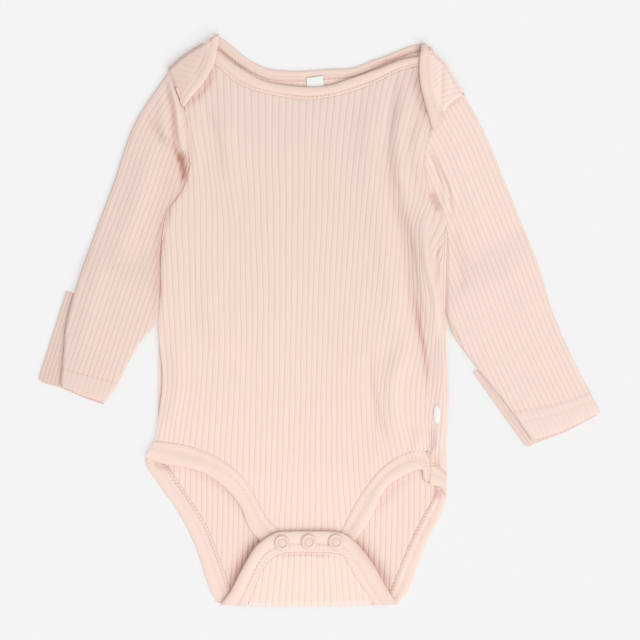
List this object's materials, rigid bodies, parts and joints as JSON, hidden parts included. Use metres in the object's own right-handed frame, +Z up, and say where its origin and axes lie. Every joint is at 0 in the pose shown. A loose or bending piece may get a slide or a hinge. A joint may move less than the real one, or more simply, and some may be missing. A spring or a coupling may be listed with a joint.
{
  "type": "baby bodysuit laid flat",
  "caption": "Long-sleeved baby bodysuit in rib knit with lap shoulders, bound neck and legs, turned-back mitten cuffs and ring snaps at the crotch, laid flat on its back.",
  "frame": {"origin": "middle of the garment's outline on the surface it lies on", "axes": "+Y along the garment from the crotch to the neck, +X to the right as the front is seen from above, +Z up out of the front"},
  "size_m": [0.3676, 0.3754, 0.0085],
  "materials": {
    "rib_knit": "soft cotton rib knit, matt, pale peach pink",
    "rib_knit_inside": "the same rib knit, plain outside and ribbed inside where it shows",
    "binding": "smooth fine knit binding, matt, pale peach pink",
    "snap": "enamelled in the colour of the cloth, satin",
    "label": "smooth white satin ribbon, bare"
  },
  "bodies": {
    "root": {"back_panel": "rib_knit_inside", "side_wrap": "rib_knit", "front_panel": "rib_knit", "shoulder_flap_left": "rib_knit", "shoulder_flap_right": "rib_knit", "crotch_flap": "rib_knit", "sleeve_left": "rib_knit", "sleeve_right": "rib_knit", "mitten_left": "rib_knit", "mitten_right": "rib_knit", "neck_binding_front": "binding", "neck_binding_back": "binding", "flap_binding_left": "binding", "flap_binding_right": "binding", "leg_binding_front_left": "binding", "leg_binding_front_right": "binding", "leg_binding_side": "binding", "leg_binding_back_left": "binding", "leg_binding_back_right": "binding", "crotch_binding": "binding", "snap_ring_1": "snap", "snap_ring_2": "snap", "snap_ring_3": "snap", "snap_socket_1": "snap", "snap_socket_2": "snap", "snap_socket_3": "snap", "neck_label": "label", "side_label": "label"}
  },
  "joints": []
}
